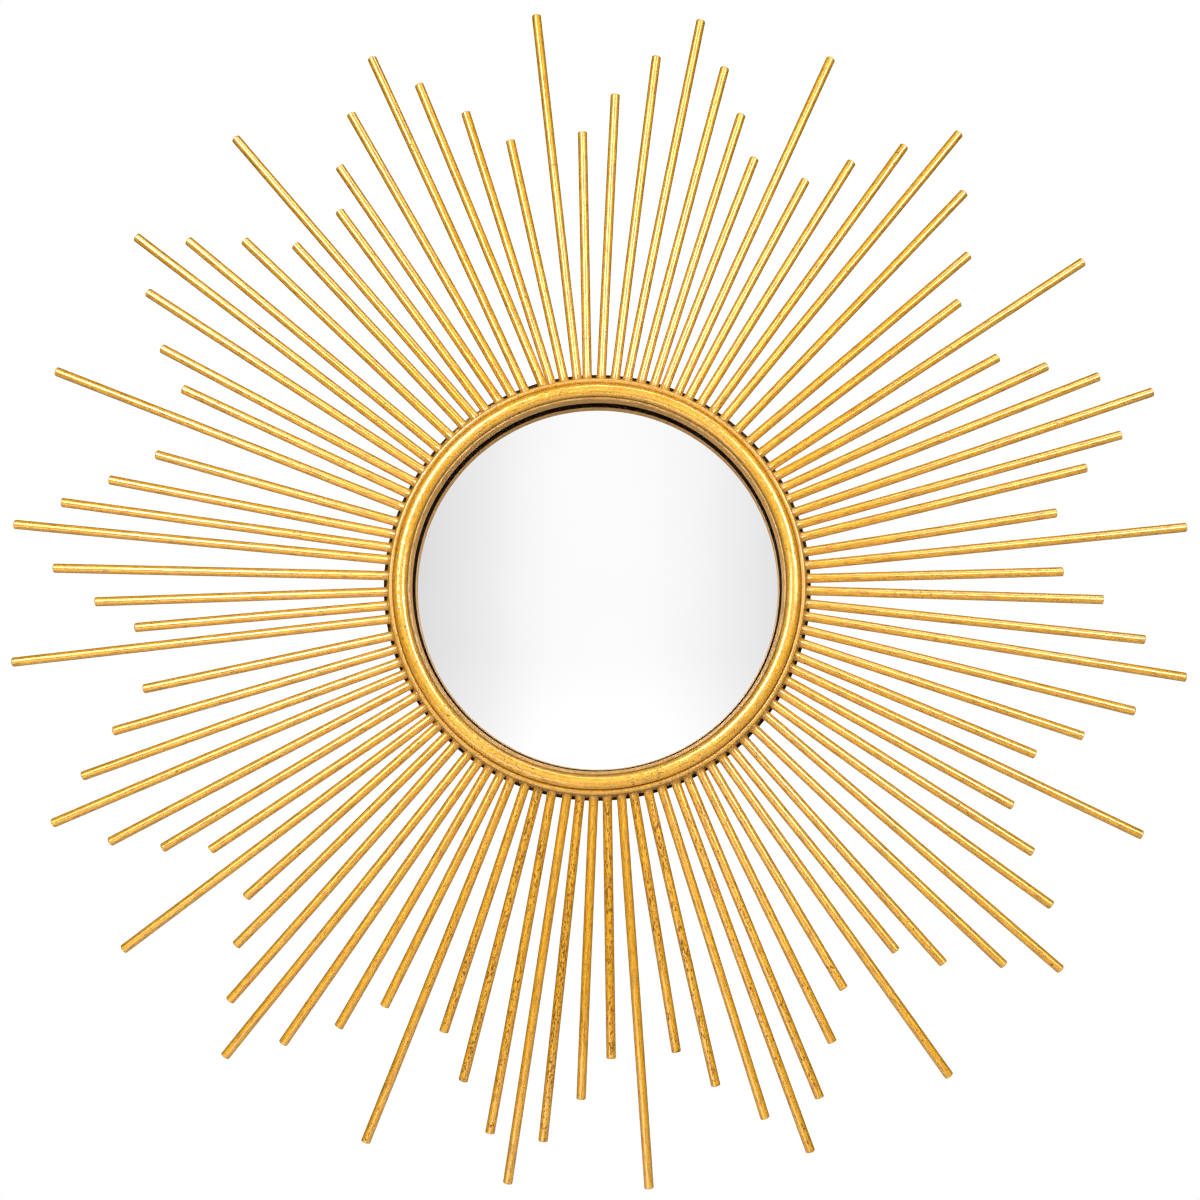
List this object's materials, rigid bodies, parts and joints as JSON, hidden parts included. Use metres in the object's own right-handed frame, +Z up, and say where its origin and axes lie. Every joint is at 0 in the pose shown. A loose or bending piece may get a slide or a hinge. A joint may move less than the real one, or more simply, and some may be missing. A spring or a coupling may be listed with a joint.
{
  "type": "sunburst wall mirror",
  "caption": "Round wall mirror in a moulded gilt ring, with straight gilt rods of stepped lengths welded round it as a sunburst.",
  "frame": {"origin": "centre of the flat back of the backing board, on the wall plane and on the axis of the mirror", "axes": "+Y into the wall, out of the flat back; the mirror faces -Y; +Z up as hung; +X to the viewer's right"},
  "size_m": [0.7587, 0.0315, 0.759],
  "materials": {
    "gilt_metal": "gold leaf over a red-brown ground on iron, rubbed and speckled, semi-gloss",
    "dark_iron": "thin dark brown paint on iron, dull, with gold overspray",
    "mirror": "silvered flat glass, clean",
    "black_board": "fibreboard painted matt black",
    "plated_steel": "zinc plated, satin"
  },
  "bodies": {
    "root": {"moulded_ring": "gilt_metal", "hoop": "dark_iron", "ray_fan_01": "gilt_metal", "ray_fan_02": "gilt_metal", "ray_fan_03": "gilt_metal", "ray_fan_04": "gilt_metal", "ray_fan_05": "gilt_metal", "ray_fan_06": "gilt_metal", "ray_fan_07": "gilt_metal", "ray_fan_08": "gilt_metal", "ray_fan_09": "gilt_metal", "ray_fan_10": "gilt_metal", "ray_fan_11": "gilt_metal", "ray_fan_12": "gilt_metal", "mirror_glass": "mirror", "backing_board": "black_board", "hanger_plate": "plated_steel", "hanger_screw_left": "plated_steel", "hanger_screw_right": "plated_steel"}
  },
  "joints": []
}
